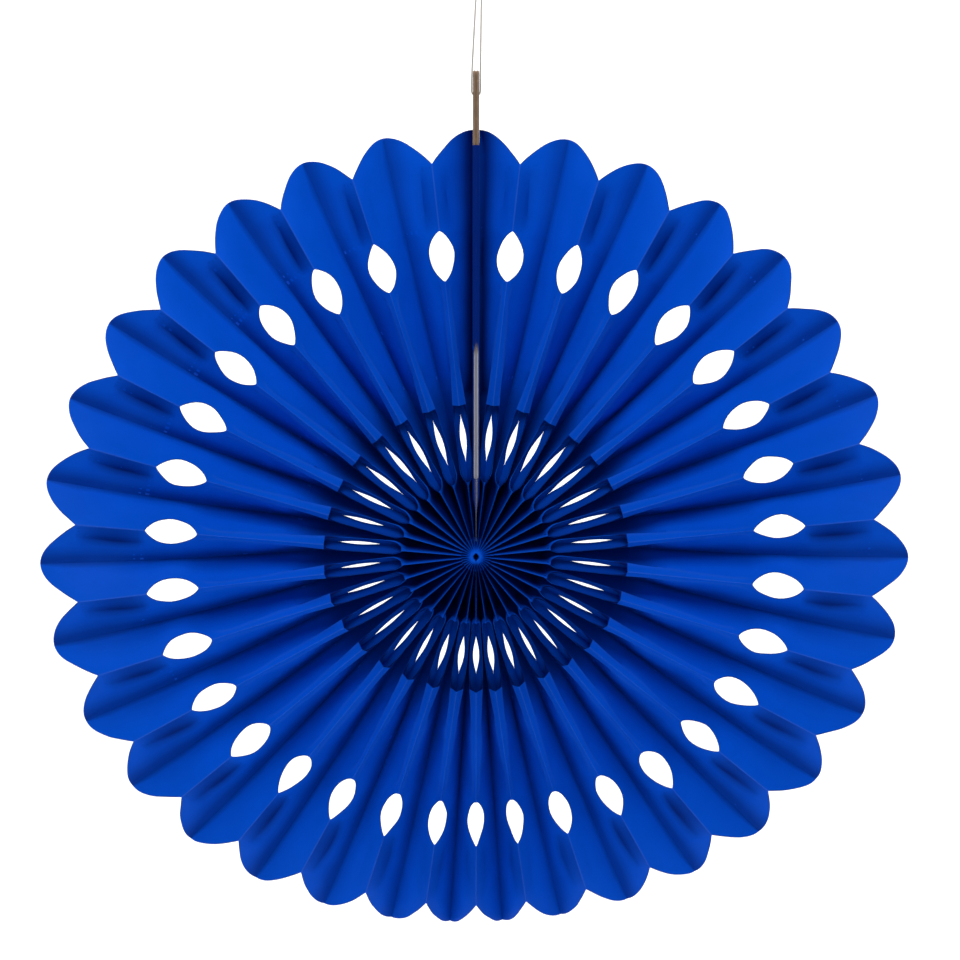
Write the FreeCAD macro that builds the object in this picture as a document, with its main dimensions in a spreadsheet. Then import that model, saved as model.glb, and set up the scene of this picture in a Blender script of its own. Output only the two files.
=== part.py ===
import FreeCAD, Part
import Sketcher
import math
import os

# A hanging paper fan. One long strip of paper is folded to and fro into narrow
# panels, opened into a full circle and gathered at its inner end, and its two
# last panels are stuck to two cards that stand in the seam at the top. A string
# runs through the cards' hole. The frame's origin is the top of the string's
# loop, where the fan hangs: X to the right, Y away from the viewer, Z up.

os.makedirs("parts", exist_ok=True)
doc = FreeCAD.newDocument("paper_fan")

# Driving sizes, in millimetres and degrees.
SIZES = {
    "fold_count": 33,
    "panel_width": 21.5,
    "panel_reach": 202.4,
    "notch_reach": 186.0,
    "least_pleat_depth": 5.1,
    "paper_thickness": 0.3,
    "hub_reach": 6.8,
    "hub_hole_radius": 1.2,
    "seam_parted_reach": 26.0,
    "bottom_crowding": 0.286,
    "bottom_spread": 1.38,
    "seam_gap_share": 1.235,
    "side_droop": 0.8,
    "side_drift": 0.38,
    "bottom_lean": 24.5,
    "bottom_lean_growth": 1.16,
    "top_lean": 5.9,
    "top_lean_growth": 2.56,
    "lean_turn_share": 0.8,
    "side_turn": 1.62,
    "core_tilt": 18.0,
    "core_tilt_reach": 110.0,
    "oval_start": 129.5,
    "oval_length": 24.0,
    "oval_depth": 9.2,
    "oval_roundness": 0.8,
    "slit_start": 34.7,
    "slit_length": 36.0,
    "slit_depth": 4.6,
    "slit_end_round": 1.3,
    "lip_spread": 3.1,
    "lip_spread_at_start": 1.8,
    "lip_spread_at_end": 3.0,
    "crest_spread": 3.4,
    "crest_depth": 3.4,
    "pinch_depth": 8.6,
    "pinch_clearance": 0.05,
    "pinch_fade": 24.3,
    "gap_start": 42.5,
    "gap_length": 20.0,
    "gap_width": 3.2,
    "gap_width_at_sides": 1.8,
    "card_thickness": 1.45,
    "card_inset": 0.75,
    "card_bottom": 34.7,
    "card_top": 227.0,
    "card_lean": 2.2,
    "card_corner": 3.0,
    "card_edge_chamfer": 0.5,
    "paper_to_card": 0.05,
    "string_hole_drop": 11.0,
    "string_hole_radius": 1.5,
    "string_diameter": 0.9,
    "string_clearance": 0.1,
    "string_rise_above_card": 1.0,
    "knot_above_card": 73.0,
    "knot_shift": 2.6,
    "knot_radius": 1.5,
    "loop_rise": 14.75,
    "loop_width": 7.2,
    "loop_shoulder": 9.5,
}

sheet = doc.addObject("Spreadsheet::Sheet", "sizes")
for row, (alias, value) in enumerate(SIZES.items(), start=1):
    sheet.set("A%d" % row, alias)
    sheet.set("B%d" % row, str(value))
    sheet.setAlias("B%d" % row, alias)
doc.recompute()


def size(alias):
    return float(sheet.get(alias))


fold_count = int(size("fold_count"))
panel_width = size("panel_width")
panel_reach = size("panel_reach")
notch_reach = size("notch_reach")
half_paper = size("paper_thickness") / 2
hub_reach = size("hub_reach")
card_thickness = size("card_thickness")
card_bottom = size("card_bottom")
# The cards lean back with the top of the fan, but less than its paper does.
card_lean = math.radians(size("top_lean") - size("card_lean"))
top_lean = math.radians(size("top_lean"))
card_width = panel_width - 2 * size("card_inset")
core_tilt = math.tan(math.radians(size("core_tilt")))
slit_start = size("slit_start")
slit_end = slit_start + size("slit_length")
slit_share = size("slit_depth") / panel_width
pinch_share = size("pinch_depth") / panel_width
pinch_end = slit_end + size("pinch_fade")
oval_start = size("oval_start")
oval_end = oval_start + size("oval_length")

# The cards stand in the seam, and the string rises from their top to the knot
# and its loop, so the hub lies this far from the loop's top.
card_seat = FreeCAD.Vector(
    0,
    panel_width / 2 - card_width / 2 - size("paper_to_card") + card_bottom * math.sin(top_lean),
    card_bottom * math.cos(top_lean),
)
string_rise = size("card_top") + size("string_rise_above_card")
string_diameter = size("string_diameter")
knot_height = size("card_top") + size("knot_above_card")
hub = FreeCAD.Vector(
    -size("knot_shift"),
    -(string_rise - card_bottom) * math.sin(card_lean) - card_seat.y,
    -knot_height - size("loop_rise"),
)


# Pleats. Angles run clockwise from straight up, as the viewer sees them.
def front_fold_angles():
    """The front folds' angles: even, but crowded together at the bottom."""
    middle = (fold_count - 1) / 2
    spread = size("bottom_spread")
    pitches = []
    for gap in range(fold_count - 1):
        away = (gap + 0.5 - middle) / spread
        pitches.append(1 - size("bottom_crowding") * math.exp(-away ** 2))
    seam_gap = size("seam_gap_share") * pitches[0]
    unit = 2 * math.pi / (sum(pitches) + seam_gap)
    angles = [unit * seam_gap / 2]
    for pitch in pitches:
        angles.append(angles[-1] + unit * pitch)
    # The folds at both sides hang a little lower than even ones would, and all
    # of them are turned a little towards the left, most at the sides.
    droop, drift = math.radians(size("side_droop")), math.radians(size("side_drift"))
    return [angle + droop * math.sin(angle) - drift * math.sin(angle) ** 2 for angle in angles]


front_angles = front_fold_angles()
rear_angles = [(a + b) / 2 for a, b in zip(front_angles, front_angles[1:])]


def pleat_depth(reach, half_pitch):
    """How far a rear fold lies behind a front fold, this far from the hub."""
    across = reach * math.sin(half_pitch)
    return math.sqrt(max(panel_width ** 2 - across ** 2, size("least_pleat_depth") ** 2))


def lean_at(angle):
    """How far a pleat leans back from upright.

    The bottom sags back, the top leans back a little with the cards, and the
    whole fan is turned, so that its right-hand side lies further back.
    """
    bottom = size("bottom_lean") * max(0.0, -math.cos(angle)) ** size("bottom_lean_growth")
    top = size("top_lean") * max(0.0, math.cos(angle)) ** size("top_lean_growth")
    return math.radians(bottom + top + size("side_turn") * math.sin(angle))


def core_share(reach):
    """1 at the hub, fading to 0 outwards."""
    return math.exp(-(reach / size("core_tilt_reach")) ** 2)


def place(reach, angle, back):
    """A point of the fan: its reach along the pleat, its angle, and its depth."""
    lean = lean_at(angle)
    radial = FreeCAD.Vector(math.sin(angle) * math.cos(lean), math.sin(lean), math.cos(angle) * math.cos(lean))
    turn = lean * size("lean_turn_share") * (1 - core_share(reach))
    inward = FreeCAD.Vector(-math.sin(angle) * math.sin(turn), math.cos(turn), -math.cos(angle) * math.sin(turn))
    # The gathered core is tilted: its rear end sits higher than its front end.
    inward.z += core_tilt * core_share(reach)
    front_centre = hub - FreeCAD.Vector(0, panel_width / 2, 0)
    behind_front = back + panel_width / 2
    return front_centre + radial * reach + inward * behind_front


def seam_offset(reach):
    """How far the seam's paper stands to the side of the fan's middle plane.

    Its two sides lie together at the hub and stand apart before the cards begin.
    """
    beside_cards = card_thickness + size("paper_to_card") + half_paper
    together = 2 * half_paper
    parted = min(1.0, (reach - hub_reach) / (size("seam_parted_reach") - hub_reach))
    return together + (beside_cards - together) * parted


def seam_rear(reach):
    """The straight rear edge of the seam, which the cards' rear edge follows."""
    return panel_width / 2 - (reach - card_bottom) * math.tan(math.radians(size("card_lean")))


def front_fold(number, reach):
    angle = front_angles[number]
    left = rear_angles[number - 1] if number > 0 else 2 * angle - rear_angles[0]
    right = rear_angles[number] if number < fold_count - 1 else 2 * angle - rear_angles[-1]
    return angle, -pleat_depth(reach, (right - left) / 2) / 2


def rear_fold(number, reach):
    angle = rear_angles[number]
    half_pitch = (front_angles[number + 1] - front_angles[number]) / 2
    return angle, pleat_depth(reach, half_pitch) / 2


# The folds in order round the fan: the sheet starts with its raw front edge on
# the right-hand card, and ends with the other raw edge on the left-hand card.
FRONT, REAR, EDGE, SEAM = "front", "rear", "edge", "seam"
folds = [(EDGE, 1), (SEAM, 1)]
for fold_number in range(fold_count):
    folds.append((FRONT, fold_number))
    if fold_number < fold_count - 1:
        folds.append((REAR, fold_number))
folds += [(SEAM, -1), (EDGE, -1)]


def seam_point(side, reach, back):
    point = place(reach, 0.0, back)
    return FreeCAD.Vector(hub.x + side * seam_offset(reach), point.y, point.z)


def fold_point(fold, reach):
    kind, number = fold
    if kind == FRONT:
        angle, back = front_fold(number, reach)
        return place(reach, angle, back)
    if kind == REAR:
        angle, back = rear_fold(number, reach)
        return place(reach, angle, back)
    back = seam_rear(reach) - (panel_width if kind == EDGE else 0)
    return seam_point(number, reach, back)


def gap_half_width(reach, angle):
    """Half the width of the see-through gap between two panels at the pinch."""
    share = (reach - size("gap_start")) / size("gap_length")
    closed = half_paper + size("pinch_clearance")
    if share <= 0 or share >= 1:
        return closed
    at_sides = size("gap_width_at_sides")
    widest = at_sides + (size("gap_width") - at_sides) * math.cos(angle) ** 2
    return closed + widest / 2 * math.sin(math.pi * share)


def lip_half_width(reach):
    """Half the width that a fold's two lips stand open, in front of the pinch."""
    if reach <= slit_start:
        return size("lip_spread_at_start")
    if reach > slit_end:
        return size("crest_spread")
    if reach == slit_end:
        return size("lip_spread_at_end")
    return size("lip_spread")


def crest_share(reach):
    """1 where the crest stands out as a narrow ridge, 0 in the ring of slits."""
    return max(0.0, min(1.0, (reach - slit_end) / (pinch_end - slit_end)))


# Neighbouring folds' lips bulge towards each other by this share of their room.
LIP_ROOM = 0.88


def panel_point(front, rear, reach, across):
    """A point inside a panel, at this share of its width from the front fold."""
    start = fold_point(front, reach)
    end = fold_point(rear, reach)
    point = start + (end - start) * across
    if front[0] == EDGE:
        return point
    # Round the inner ring of slits each front fold is pinched shut a little way
    # behind its crest, and its lips stand open in front of the pinch. Further
    # out its crest is a narrow ridge on flatter panels.
    number = front[1]
    angle, back = front_fold(number, reach)
    tangent = FreeCAD.Vector(math.cos(angle), 0, -math.sin(angle))
    side = 1 if rear in ((REAR, number), (SEAM, -1)) else -1
    tilted = -2 * back * core_tilt * core_share(reach) * tangent.z
    room = abs((end - start).dot(tangent) - tilted) * LIP_ROOM
    if reach < slit_start or across not in (slit_share, pinch_share):
        wanted, deeper = room / LIP_ROOM * across, 0
    elif across == pinch_share:
        wanted, deeper = gap_half_width(reach, angle), 0
    else:
        wanted = lip_half_width(reach)
        deeper = (size("crest_depth") + 2 * back * across) * crest_share(reach)
    sideways = side * min(wanted, room) + tilted * across
    point += tangent * (sideways - (point - start).dot(tangent))
    return point + FreeCAD.Vector(0, max(0.0, deeper), 0)


# The cuts, made through the folded stack: each gives the share of the panel
# that is cut away from the front fold, at one reach.
def petal_reach(share):
    return notch_reach + (panel_reach - notch_reach) * math.sin(math.pi / 2 * share)


def oval_share(step):
    return size("oval_depth") / panel_width * math.sin(math.pi * step) ** size("oval_roundness")


OVAL_STEPS = 6
RING_STEPS = 5
HOLE_SIDES = 12
PETAL_SHARES = (0.3, 0.62)

stations = [
    (hub_reach, (0, 1)),
    (size("seam_parted_reach"), (0, pinch_share, 1)),
    (slit_start, (0, slit_share, pinch_share, 1)),
]
slit_first = slit_start + size("slit_end_round")
slit_last = slit_end - size("slit_end_round")
for step in range(RING_STEPS + 1):
    ring_reach = slit_first + (slit_last - slit_first) * step / RING_STEPS
    stations.append((ring_reach, (slit_share, pinch_share, 1)))
stations += [
    (slit_end, (0, slit_share, pinch_share, 1)),
    (pinch_end, (0, slit_share, 1)),
    (oval_start, (0, slit_share, 1)),
]
for step in range(1, OVAL_STEPS):
    share = step / OVAL_STEPS
    stations.append((oval_start + (oval_end - oval_start) * share, (oval_share(share), 1)))
stations += [(oval_end, (0, slit_share, 1)), (notch_reach, (0, 1))]
for share in PETAL_SHARES:
    stations.append((petal_reach(share), (share, 1)))
stations.append((panel_reach, (1,)))


class Facets:
    """A list of points and of triangles between them, each point held once."""

    def __init__(self):
        self.points = []
        self.triangles = []
        self.walls = []
        self.index = {}

    def point(self, key, position):
        if key not in self.index:
            self.index[key] = len(self.points)
            self.points.append(position)
        return self.index[key]

    def triangle(self, a, b, c):
        if len({a, b, c}) == 3:
            self.triangles.append((a, b, c))


def bridge(facets, first, second, flip):
    """Triangles between two rows of (share, point number)."""
    i, j = 0, 0
    while i < len(first) - 1 or j < len(second) - 1:
        step_first = j == len(second) - 1 or (i < len(first) - 1 and first[i + 1][0] <= second[j + 1][0])
        if step_first:
            corners = (first[i][1], first[i + 1][1], second[j][1])
            i += 1
        else:
            corners = (first[i][1], second[j + 1][1], second[j][1])
            j += 1
        facets.triangle(*(reversed(corners) if flip else corners))


def middle_surface():
    """The sheet with no thickness: every panel between two neighbouring folds."""
    facets = Facets()
    for wall, (left, right) in enumerate(zip(folds, folds[1:])):
        front, rear = (left, right) if left[0] in (FRONT, EDGE) else (right, left)
        flip = front is right
        rows = []
        for number, (reach, shares) in enumerate(stations):
            row = []
            for across in shares:
                if across == 0:
                    key, position = (front, number), fold_point(front, reach)
                elif across == 1:
                    key, position = (rear, number), fold_point(rear, reach)
                else:
                    key, position = (wall, number, across), panel_point(front, rear, reach, across)
                row.append((across, facets.point(key, position)))
            rows.append(row)
        for first, second in zip(rows, rows[1:]):
            bridge(facets, first, second, flip)
        facets.walls += [wall] * (len(facets.triangles) - len(facets.walls))
    return facets


# Outside a sharp fold the paper is rounded off at this many half thicknesses,
# and inside it the two faces lie together for at most this share of a panel.
CREASE_GROWTH = 1.7
CREASE_WEB = 0.8


def skin_moves(facets):
    """How far each point moves to the sheet's front face, and to its rear face."""
    wall_normals = [{} for _ in facets.points]
    for wall, corners in zip(facets.walls, facets.triangles):
        a, b, c = (facets.points[n] for n in corners)
        normal = (b - a).cross(c - a)
        normal.normalize()
        for corner, previous, following in zip(corners, corners[-1:] + corners[:-1], corners[1:] + corners[:1]):
            here = facets.points[corner]
            spread = (facets.points[previous] - here).getAngle(facets.points[following] - here)
            met = wall_normals[corner]
            met[wall] = met.get(wall, FreeCAD.Vector()) + normal * spread
    kinds = {number: key[0][0] for key, number in facets.index.items() if isinstance(key[0], tuple)}
    to_front, to_rear = [], []
    for number, met in enumerate(wall_normals):
        normals = [normal.normalize() for normal in met.values()]
        total = sum(normals, FreeCAD.Vector()).normalize()
        squareness = sum(total.dot(normal) for normal in normals) / len(normals)
        outside = half_paper * min(1 / squareness, CREASE_GROWTH)
        inside = min(half_paper / squareness, CREASE_WEB * panel_width)
        kind = kinds.get(number)
        to_front.append(total * (inside if kind in (REAR, SEAM) else outside))
        to_rear.append(total * -(inside if kind == FRONT else outside))
    return to_front, to_rear


def paper_solid():
    """The folded sheet as one closed solid, with the gathered hub inside it."""
    sheet_facets = middle_surface()
    to_front, to_rear = skin_moves(sheet_facets)
    count = len(sheet_facets.points)
    points = [p + m for p, m in zip(sheet_facets.points, to_front)]
    points += [p + m for p, m in zip(sheet_facets.points, to_rear)]
    triangles = []
    used = {}
    for a, b, c in sheet_facets.triangles:
        triangles.append((a, b, c))
        triangles.append((c + count, b + count, a + count))
        for edge in ((a, b), (b, c), (c, a)):
            used[edge] = True
    # Cut edges join the two faces, except at the hub, where the hub meets them.
    at_hub = {sheet_facets.index[(fold, 0)] for fold in folds}
    for a, b in used:
        if (b, a) not in used and not (a in at_hub and b in at_hub):
            triangles.append((b, a, a + count))
            triangles.append((b, a + count, b + count))

    # The hub: the gathered inner ends, glued into a round core with a hole.
    fronts = [sheet_facets.index[(fold, 0)] for fold in folds if fold[0] in (FRONT, EDGE)]
    rears = [sheet_facets.index[(fold, 0)] for fold in folds if fold[0] in (REAR, SEAM)]
    for number, rear in enumerate(rears):
        triangles.append((fronts[number], fronts[number + 1], rear))
    for number in range(len(rears) - 1):
        triangles.append((rears[number] + count, fronts[number + 1] + count, rears[number + 1] + count))
    first, last = fronts[0], fronts[-1]
    corners = (first, last, last + count, rears[-1] + count, rears[0] + count, first + count)
    for second, third in zip(corners[1:], corners[2:]):
        triangles.append((first, third, second))

    hole_front, hole_rear = [], []
    for number in range(HOLE_SIDES):
        angle = 2 * math.pi * (number + 0.5) / HOLE_SIDES
        radius = size("hub_hole_radius")
        for row, back in ((hole_front, -panel_width / 2 - half_paper), (hole_rear, panel_width / 2 + half_paper)):
            row.append((angle, len(points)))
            tilt_lift = (back + panel_width / 2) * core_tilt
            offset = FreeCAD.Vector(radius * math.sin(angle), back, radius * math.cos(angle) + tilt_lift)
            points.append(hub + offset)

    def ring(outer, inner, flip):
        """Triangles between the hub's outline and its hole."""
        outer = outer + [(outer[0][0] + 2 * math.pi, outer[0][1])]
        inner = inner + [(inner[0][0] + 2 * math.pi, inner[0][1])]
        band = Facets()
        bridge(band, outer, inner, flip)
        triangles.extend(band.triangles)

    def turned(numbers):
        """Each point's angle round the hub, rising from the seam."""
        found = []
        for number in numbers:
            middle = points[number] - hub
            lift = (middle.y + panel_width / 2) * core_tilt
            angle = math.atan2(middle.x, middle.z - lift) % (2 * math.pi)
            found.append((angle, number))
        return found

    ring(turned(fronts), hole_front, True)
    ring(turned([n + count for n in rears]), hole_rear, False)
    for number in range(HOLE_SIDES):
        following = (number + 1) % HOLE_SIDES
        a, b = hole_front[number][1], hole_front[following][1]
        c, d = hole_rear[number][1], hole_rear[following][1]
        triangles.append((a, d, b))
        triangles.append((a, c, d))
    return points, triangles


def paper_shape():
    """The closed solid made from the sheet's triangles."""
    points, triangles = paper_solid()
    shape = Part.Shape()
    shape.makeShapeFromMesh((points, triangles), 0.001)
    solid = Part.makeSolid(Part.Shell(shape.Faces))
    if solid.Volume < 0:
        solid.reverse()
    return solid


paper = doc.addObject("Part::Feature", "pleated_paper")
paper.Shape = paper_shape()
paper.Label = "pleated_paper"


# Cards. Each is a strip of board on edge: its width runs front to back.
def make_card(name, side):
    """A card from its side outline, with its string hole and soft top edge."""
    body = doc.addObject("PartDesign::Body", name)
    outline = body.newObject("Sketcher::SketchObject", name + "_outline")
    plane = next(f for f in body.Origin.OriginFeatures if f.Role == "YZ_Plane")
    outline.AttachmentSupport = [(plane, "")]
    outline.MapMode = "FlatFace"
    half, low, high = card_width / 2, card_bottom, size("card_top")
    corner = size("card_corner")
    point = FreeCAD.Vector
    lines = [
        (point(-half, high - corner, 0), point(-half, low, 0)),
        (point(-half, low, 0), point(half, low, 0)),
        (point(half, low, 0), point(half, high - corner, 0)),
        (point(half - corner, high, 0), point(-half + corner, high, 0)),
    ]
    for start, end in lines:
        outline.addGeometry(Part.LineSegment(start, end), False)
    arc = Part.ArcOfCircle
    up = point(0, 0, 1)
    right_circle = Part.Circle(point(half - corner, high - corner, 0), up, corner)
    left_circle = Part.Circle(point(-half + corner, high - corner, 0), up, corner)
    outline.addGeometry(arc(right_circle, 0, math.pi / 2), False)
    outline.addGeometry(arc(left_circle, math.pi / 2, math.pi), False)
    hole_height = high - size("string_hole_drop")
    hole = Part.Circle(point(0, hole_height, 0), up, size("string_hole_radius"))
    outline.addGeometry(hole, False)
    link = Sketcher.Constraint
    for first, last in ((0, 1), (1, 2)):
        outline.addConstraint(link("Coincident", first, 2, last, 1))
    outline.addConstraint(link("Tangent", 2, 2, 4, 1))
    outline.addConstraint(link("Tangent", 4, 2, 3, 1))
    outline.addConstraint(link("Tangent", 3, 2, 5, 1))
    outline.addConstraint(link("Tangent", 5, 2, 0, 1))
    outline.addConstraint(link("Vertical", 0))
    outline.addConstraint(link("Vertical", 2))
    outline.addConstraint(link("Equal", 4, 5))
    outline.addConstraint(link("Symmetric", 0, 2, 1, 2, -2))
    outline.addConstraint(link("PointOnObject", 6, 3, -2))
    measures = (
        ("card_width", link("Distance", 1, half * 2), "sizes.panel_width - 2 * sizes.card_inset"),
        ("bottom", link("DistanceY", -1, 1, 0, 2, low), "sizes.card_bottom"),
        ("height", link("DistanceY", 0, 2, 3, 1, high - low), "sizes.card_top - sizes.card_bottom"),
        ("corner", link("Radius", 4, corner), "sizes.card_corner"),
        ("hole_drop", link("DistanceY", 6, 3, 3, 1, high - hole_height), "sizes.string_hole_drop"),
        ("hole_radius", link("Radius", 6, size("string_hole_radius")), "sizes.string_hole_radius"),
    )
    for label, constraint, cell in measures:
        number = outline.addConstraint(constraint)
        outline.renameConstraint(number, label)
        outline.setExpression("Constraints." + label, cell)
    pad = body.newObject("PartDesign::Pad", name + "_board")
    pad.Profile = outline
    pad.setExpression("Length", "sizes.card_thickness")
    pad.Reversed = side < 0
    doc.recompute()
    top_edges = []
    for number, edge in enumerate(pad.Shape.Edges, start=1):
        box = edge.BoundBox
        if box.ZMax > high - 0.001 and box.XLength < 0.001 and box.ZLength < corner + 0.001:
            top_edges.append("Edge%d" % number)
    softened = body.newObject("PartDesign::Chamfer", name + "_soft_top")
    softened.Base = (pad, top_edges)
    softened.setExpression("Size", "sizes.card_edge_chamfer")
    body.Tip = softened
    body.Label = name
    # The card stands on its own edge in the seam and leans back with it.
    lean = FreeCAD.Rotation(FreeCAD.Vector(1, 0, 0), -math.degrees(card_lean))
    foot = lean.multVec(FreeCAD.Vector(0, 0, card_bottom))
    body.Placement = FreeCAD.Placement(hub + card_seat - foot, lean)
    return body


cards = [make_card("card_left", -1), make_card("card_right", 1)]
doc.recompute()


# String. It hangs in the top of the cards' hole, runs up both outer faces and
# meets itself in a knot. Its route is straight runs joined by tangent arcs.
def tube(route, radii, diameter):
    """A round tube along straight runs with an arc of each radius between them."""
    edges = []
    start = route[0]
    length = 0
    for before, corner, after, radius in zip(route, route[1:], route[2:], radii):
        arriving = (corner - before).normalize()
        leaving = (after - corner).normalize()
        half_turn = arriving.getAngle(leaving) / 2
        setback = radius * math.tan(half_turn)
        arc_start = corner - arriving * setback
        arc_end = corner + leaving * setback
        inside = (leaving - arriving).normalize()
        middle = corner + inside * (radius / math.cos(half_turn) - radius)
        edges.append(Part.LineSegment(start, arc_start).toShape())
        edges.append(Part.Arc(arc_start, middle, arc_end).toShape())
        length += (arc_start - start).Length + radius * 2 * half_turn
        start = arc_end
    edges.append(Part.LineSegment(start, route[-1]).toShape())
    length += (route[-1] - start).Length
    path = Part.Wire(edges)
    along = (route[1] - route[0]).normalize()
    section = Part.Wire([Part.Circle(route[0], along, diameter / 2).toShape()])
    swept = path.makePipeShell([section], True, True)
    expected = math.pi * diameter ** 2 / 4 * length
    print("tube radii", [round(r, 2) for r in radii], "length", round(length, 1),
          "volume over section times length", round(swept.Volume / expected, 4))
    return swept


def card_point(side, width_place, height):
    """A point beside the cards, in the tilted plane of their side faces."""
    placement = cards[0].Placement
    at = placement.multVec(FreeCAD.Vector(0, width_place, height))
    beside = card_thickness + size("string_clearance") + string_diameter / 2
    return FreeCAD.Vector(hub.x + side * beside, at.y, at.z)


# An arc takes up to this share of the shorter of the two runs that it joins.
BEND_SHARE = 0.45


def string_bend(before, corner, after):
    """The largest arc that two runs allow, as a free cord bends."""
    first, second = corner - before, after - corner
    shorter = min(first.Length, second.Length)
    return BEND_SHARE * shorter / math.tan(first.getAngle(second) / 2)


hole_height = size("card_top") - size("string_hole_drop")
string_height = hole_height + size("string_hole_radius") - string_diameter / 2 - size("paper_to_card")
knot_radius = size("knot_radius")
knot_centre = FreeCAD.Vector(0, 0, hub.z + knot_height)
# The strands enter the knot side by side, at this share of its radius.
strand_gap = string_diameter * 0.6
knot_foot = knot_radius * 0.7
loop_flat = size("loop_width") * 0.36


def strand_end(side, up):
    """Where a strand enters the knot, from below or above."""
    return knot_centre + FreeCAD.Vector(side * strand_gap, 0, up * knot_foot)


string_route = [
    strand_end(-1, -1),
    card_point(-1, 0, string_rise),
    card_point(-1, 0, string_height),
    card_point(1, 0, string_height),
    card_point(1, 0, string_rise),
    strand_end(1, -1),
]
string_radii = [
    string_bend(*string_route[0:3]),
    string_diameter,
    string_diameter,
    string_bend(*string_route[3:6]),
]
loop_top = size("loop_rise") + string_diameter / 2
loop_route = [
    strand_end(-1, 1),
    knot_centre + FreeCAD.Vector(-size("loop_width") / 2, 0, size("loop_shoulder")),
    knot_centre + FreeCAD.Vector(-loop_flat, 0, loop_top),
    knot_centre + FreeCAD.Vector(loop_flat, 0, loop_top),
    knot_centre + FreeCAD.Vector(size("loop_width") / 2, 0, size("loop_shoulder")),
    strand_end(1, 1),
]
loop_radii = [string_bend(*loop_route[n:n + 3]) for n in range(4)]

string = doc.addObject("Part::Feature", "hanging_string")
string.Shape = tube(string_route, string_radii, string_diameter)
string.Label = "hanging_string"

loop = doc.addObject("Part::Feature", "hanging_loop")
loop.Shape = tube(loop_route, loop_radii, string_diameter)
loop.Label = "hanging_loop"

# The knot fits round the four strands that enter it.
knot = doc.addObject("Part::Feature", "string_knot")
knot.Shape = Part.makeSphere(knot_radius, knot_centre).cut(string.Shape).cut(loop.Shape)
knot.Label = "string_knot"

doc.recompute()
pieces = [paper] + cards + [string, knot, loop]
for item in doc.Objects:
    if "Invalid" in item.State or "Error" in item.State:
        raise RuntimeError("failed: " + item.Label)
for piece in pieces:
    if piece.Shape.isNull() or not piece.Shape.isValid():
        raise RuntimeError("bad shape: " + piece.Label)
for piece in pieces:
    piece.Shape.exportStep("parts/" + piece.Label + ".step")
    print(piece.Label, "solids", len(piece.Shape.Solids), "volume", round(piece.Shape.Volume, 1))
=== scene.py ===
"""A hanging paper fan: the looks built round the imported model.

The frame's origin is the top of the string's loop, where the fan hangs: X to
the right, Y away from the viewer and Z up, in metres.
"""

import math

import bpy
import numpy as np
from bpy.props import FloatProperty, FloatVectorProperty, PointerProperty
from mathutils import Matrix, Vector, noise


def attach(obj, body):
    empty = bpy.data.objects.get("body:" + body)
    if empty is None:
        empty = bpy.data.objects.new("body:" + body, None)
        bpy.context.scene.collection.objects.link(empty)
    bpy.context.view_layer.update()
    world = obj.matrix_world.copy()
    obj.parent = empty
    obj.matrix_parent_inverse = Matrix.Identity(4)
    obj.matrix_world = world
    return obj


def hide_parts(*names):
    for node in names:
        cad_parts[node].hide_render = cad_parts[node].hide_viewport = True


bl_info = {
    "name": "Paper fan rosette",
    "version": (1, 0, 0),
    "blender": (4, 5, 0),
    "location": "3D View > Sidebar > Paper fan",
    "description": "Builds a hanging paper fan round its packed model",
    "category": "Add Mesh",
}

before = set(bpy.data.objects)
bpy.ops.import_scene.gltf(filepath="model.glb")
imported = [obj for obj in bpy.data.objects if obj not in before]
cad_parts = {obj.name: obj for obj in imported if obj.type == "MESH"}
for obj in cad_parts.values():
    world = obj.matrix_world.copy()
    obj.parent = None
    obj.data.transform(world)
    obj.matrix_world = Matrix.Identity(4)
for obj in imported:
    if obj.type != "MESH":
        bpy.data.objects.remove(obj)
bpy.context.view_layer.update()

# How the strip is folded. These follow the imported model, apart from the pinch,
# the gaps, the ridges and the pull at the seam, which the photograph set again.
FOLD_COUNT = 33
SEAM_GAP_SHARE = 1.235
BOTTOM_CROWDING = 0.286
BOTTOM_SPREAD = 1.38
SIDE_DROOP = math.radians(0.8)
SIDE_DRIFT = math.radians(0.38)
BOTTOM_LEAN_GROWTH = 1.16
TOP_LEAN = math.radians(5.9)
TOP_LEAN_GROWTH = 2.56
LEAN_TURN_SHARE = 0.8
SIDE_TURN = math.radians(1.62)
CORE_TILT = math.tan(math.radians(18))
CORE_TILT_REACH = 0.110
LEAST_PLEAT_DEPTH = 0.0051
PINCH_DEPTH = 0.0086
# Each pinched wall passes this far beyond the middle, so that no light shows there.
PINCH_CLEARANCE = -0.00002
# The pinch closes between these reaches, and stays closed this far past the slit.
PINCH_CLOSES = (0.024, 0.0305)
PINCH_HOLD = 0.006
PINCH_FADE = 0.0243
LIP_ROOM = 0.88
# Where a gap starts and how long it is, and how much both change at the fan's top.
GAP_START, GAP_START_RISE = 0.0450, -0.0015
GAP_LENGTH, GAP_LENGTH_RISE = 0.0185, 0.0020
HUB_HOLE_RADIUS = 0.0011
SLIT_BLUNTNESS = 4.0
OVAL_ROUNDNESS = 0.68
# A crest's ridge, before the ovals and past them: how steep its sides are, and
# how far to the side and back the paper drops behind it.
RIDGE_STEEPNESS = (1.4, 1.45)
RIDGE_DROP = ((0.0011, 0.0030), (0.0024, 0.0044))
OUTSIDE_GROWTH = 1.7
CORE_GROOVE = 0.0035
HOLE_TIP, HOLE_TAIL = 0.0006, 0.0030
# The folds beside the seam are drawn in towards it, and are darker there from painted shade.
SEAM_PULL = math.radians(0.5)
SEAM_SHADE = 0.88
# The reaches between which the painted shade changes at the hub, at the slits' ends and past
# the ring, and between which the folds' pale lines, partly rubbed wear and partly painted
# highlight, grow paler.
HUB_SHADE_ENDS = (0.031, 0.037)
SLIT_END_SHADE = (0.062, 0.067)
RING_SHADE_ENDS = (0.070, 0.085)
WORN_AND_HIGHLIT_REACHES = (0.03, 0.08)
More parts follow.
